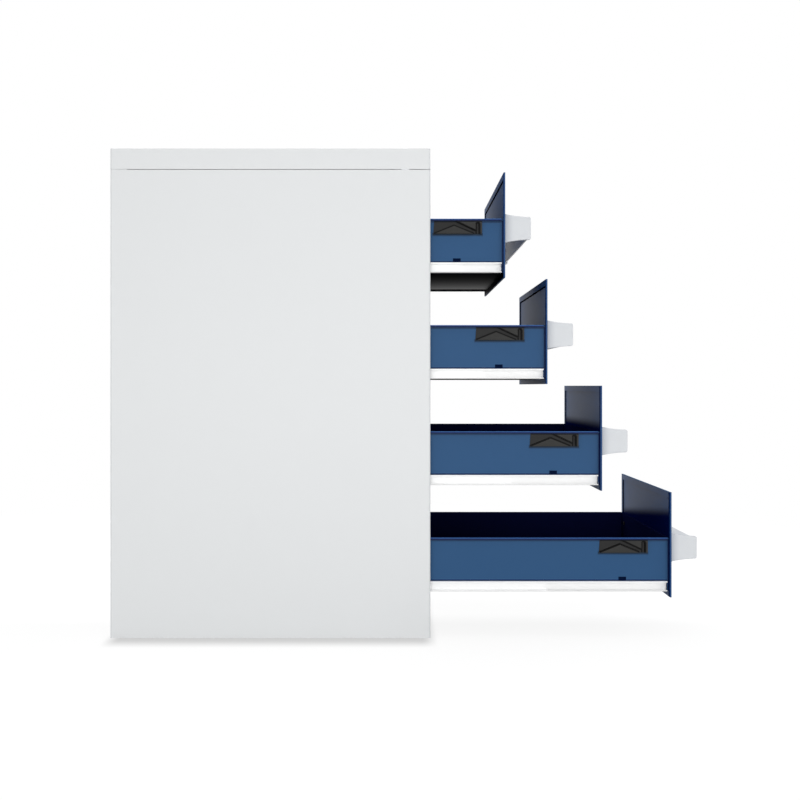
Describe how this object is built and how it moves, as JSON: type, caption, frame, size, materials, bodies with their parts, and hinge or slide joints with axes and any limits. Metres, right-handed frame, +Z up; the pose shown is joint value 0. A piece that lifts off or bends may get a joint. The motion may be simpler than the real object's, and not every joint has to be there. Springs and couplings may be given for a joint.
{
  "type": "microscope slide cabinet",
  "caption": "Free-standing steel cabinet with pull-out drawers for microscope slides, bar grips, telescopic runners and one bar lock for all drawers.",
  "frame": {"origin": "on the floor, in the middle of the body's footprint, on the underside of the base pan", "axes": "+X across the width, to the right as seen from the front; the fronts face -Y and the drawers open towards -Y; +Z up"},
  "size_m": [0.45, 1.1012, 0.918],
  "materials": {
    "body_grey": "light grey powder coat, fine texture, satin",
    "drawer_blue": "gentian blue powder coat, fine texture, satin",
    "runner_white": "white epoxy coat, satin",
    "cam_black": "dark grey moulded nylon, matte",
    "grip_grey": "light grey, fine matte grain",
    "zinc_steel": "bright zinc plate",
    "lock_chrome": "satin nickel plate",
    "foot_black": "black moulded plastic on a zinc stud"
  },
  "bodies": {
    "cabinet": {"side_panel_left": "body_grey", "side_panel_right": "body_grey", "back_panel": "body_grey", "base_pan": "body_grey", "foot_bridges": "zinc_steel", "levelling_feet": "foot_black", "plinth": "body_grey", "top_front_rail": "body_grey", "top_rear_rail": "body_grey", "top_cover": "body_grey", "cover_screws": "zinc_steel", "rail_posts_left": "zinc_steel", "rail_posts_right": "zinc_steel", "body_runners_1": "runner_white", "body_runners_2": "runner_white", "body_runners_3": "runner_white", "body_runners_4": "runner_white", "lock_housing": "lock_chrome", "lock_bar_guides": "zinc_steel"},
    "lock_plug": {"lock_plug": "lock_chrome"},
    "lock_bar": {"lock_bar": "zinc_steel", "lock_pins": "zinc_steel"},
    "drawer_1": {"drawer_front_1": "drawer_blue", "drawer_tray_1": "drawer_blue", "slide_dividers_1": "drawer_blue", "tray_runners_1": "runner_white", "cam_plate_1": "cam_black", "grip_1": "grip_grey", "grip_caps_1": "grip_grey", "drawer_screws_1": "zinc_steel"},
    "runners_1": {"middle_runners_1": "runner_white"},
    "drawer_2": {"drawer_front_2": "drawer_blue", "drawer_tray_2": "drawer_blue", "slide_dividers_2": "drawer_blue", "tray_runners_2": "runner_white", "cam_plate_2": "cam_black", "grip_2": "grip_grey", "grip_caps_2": "grip_grey", "drawer_screws_2": "zinc_steel"},
    "runners_2": {"middle_runners_2": "runner_white"},
    "drawer_3": {"drawer_front_3": "drawer_blue", "drawer_tray_3": "drawer_blue", "slide_dividers_3": "drawer_blue", "tray_runners_3": "runner_white", "cam_plate_3": "cam_black", "grip_3": "grip_grey", "grip_caps_3": "grip_grey", "drawer_screws_3": "zinc_steel"},
    "runners_3": {"middle_runners_3": "runner_white"},
    "drawer_4": {"drawer_front_4": "drawer_blue", "drawer_tray_4": "drawer_blue", "slide_dividers_4": "drawer_blue", "tray_runners_4": "runner_white", "cam_plate_4": "cam_black", "grip_4": "grip_grey", "grip_caps_4": "grip_grey", "drawer_screws_4": "zinc_steel"},
    "runners_4": {"middle_runners_4": "runner_white"}
  },
  "joints": [
    {"name": "drawer_1_slide", "type": "slide", "parent": "cabinet", "child": "drawer_1", "axis": [0, -1, 0], "range_m": [-0.1364, 0.3936]},
    {"name": "runners_1_slide", "type": "slide", "parent": "cabinet", "child": "runners_1", "axis": [0, -1, 0], "range_m": [-0.0682, 0.1968]},
    {"name": "drawer_2_slide", "type": "slide", "parent": "cabinet", "child": "drawer_2", "axis": [0, -1, 0], "range_m": [-0.2156, 0.3144]},
    {"name": "runners_2_slide", "type": "slide", "parent": "cabinet", "child": "runners_2", "axis": [0, -1, 0], "range_m": [-0.1078, 0.1572]},
    {"name": "drawer_3_slide", "type": "slide", "parent": "cabinet", "child": "drawer_3", "axis": [0, -1, 0], "range_m": [-0.318, 0.212]},
    {"name": "runners_3_slide", "type": "slide", "parent": "cabinet", "child": "runners_3", "axis": [0, -1, 0], "range_m": [-0.159, 0.106]},
    {"name": "drawer_4_slide", "type": "slide", "parent": "cabinet", "child": "drawer_4", "axis": [0, -1, 0], "range_m": [-0.4482, 0.0818]},
    {"name": "runners_4_slide", "type": "slide", "parent": "cabinet", "child": "runners_4", "axis": [0, -1, 0], "range_m": [-0.2241, 0.0409]},
    {"name": "lock_turn", "type": "hinge", "parent": "cabinet", "child": "lock_plug", "pos_m": [-0.185, 0, 0.8985], "axis": [0, 1, 0], "range_deg": [0, 90]},
    {"name": "lock_bar_lift", "type": "slide", "parent": "cabinet", "child": "lock_bar", "axis": [0, 0, 1], "range_m": [0, 0.0135]}
  ],
  "couplings": [
    {"joint": "runners_1_slide", "follows": "drawer_1_slide", "ratio": 0.5},
    {"joint": "runners_2_slide", "follows": "drawer_2_slide", "ratio": 0.5},
    {"joint": "runners_3_slide", "follows": "drawer_3_slide", "ratio": 0.5},
    {"joint": "runners_4_slide", "follows": "drawer_4_slide", "ratio": 0.5},
    {"joint": "lock_turn", "follows": "lock_bar_lift", "rad_per_m": 116.35}
  ]
}
